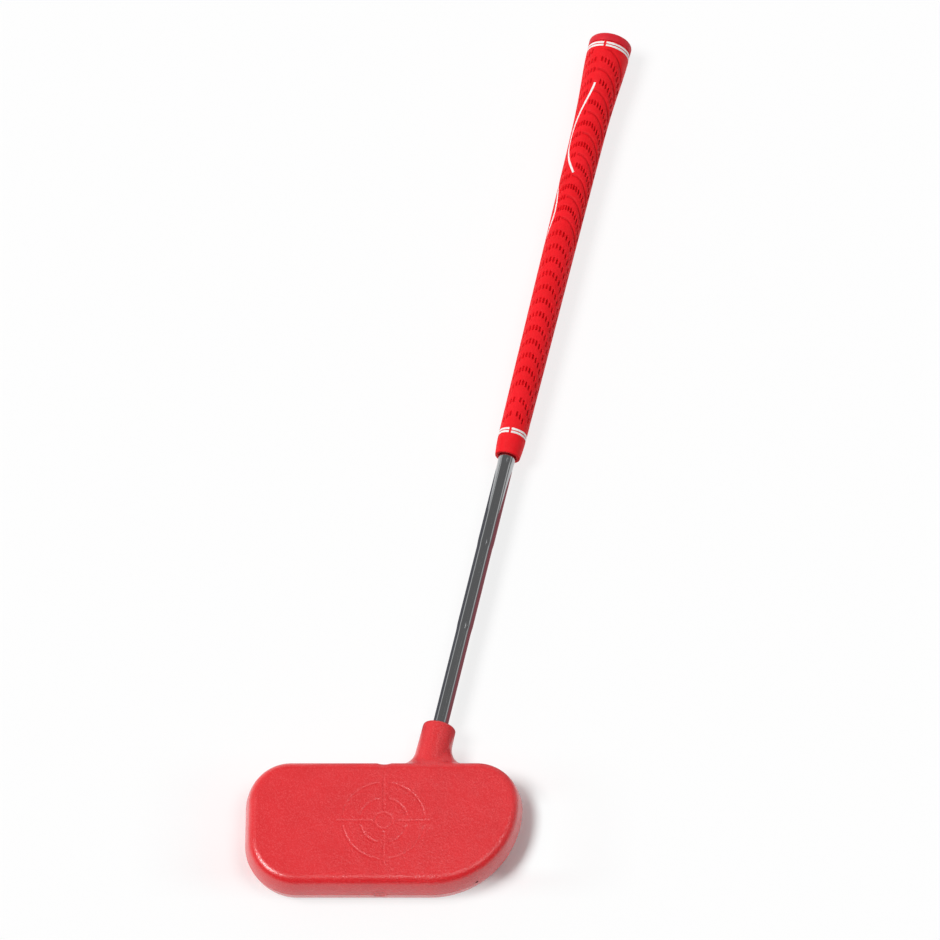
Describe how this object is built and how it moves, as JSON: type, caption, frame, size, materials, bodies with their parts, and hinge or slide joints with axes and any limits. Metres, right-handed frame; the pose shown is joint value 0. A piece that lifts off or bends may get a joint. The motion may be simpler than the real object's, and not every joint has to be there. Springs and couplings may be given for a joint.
{
  "type": "mini golf putter",
  "caption": "Short putter with a broad two-sided rubber head, a leaning stepped steel shaft and a long tapered rubber grip; it strikes a mini golf ball from either side.",
  "frame": {"origin": "middle of the rear striking face, which the club lies on", "axes": "+X from toe to heel, +Y from the sole up the club, +Z from the rear striking face to the front one; the shaft leans from +Y towards +X"},
  "size_m": [0.2195, 0.545, 0.026],
  "materials": {
    "head_rubber": "red moulded rubber with a fine leather-like grain and a low sheen",
    "grip_rubber": "matt red rubber with arched rows of fine slits",
    "cap_rubber": "smooth dark red rubber",
    "shaft_chrome": "bright chrome plate on a stepped steel tube",
    "socket_steel": "plain drawn steel, unplated",
    "tip_epoxy": "set amber epoxy",
    "plug_plastic": "black moulded plastic",
    "grip_tape": "double-sided paper and cloth tape",
    "ring_paint": "white paint wiped into the grip's grooves"
  },
  "bodies": {
    "root": {"head": "head_rubber", "socket_tube": "socket_steel", "anchor_plate": "socket_steel", "tip_bond": "tip_epoxy", "tip_plug": "plug_plastic", "shaft": "shaft_chrome", "grip_tape": "grip_tape", "grip_sleeve": "grip_rubber", "butt_cap": "cap_rubber", "butt_ring_outer": "ring_paint", "butt_ring_inner": "ring_paint", "mouth_ring_inner": "ring_paint", "mouth_ring_outer": "ring_paint", "accent_line_front": "ring_paint", "accent_line_side": "ring_paint"}
  },
  "joints": []
}
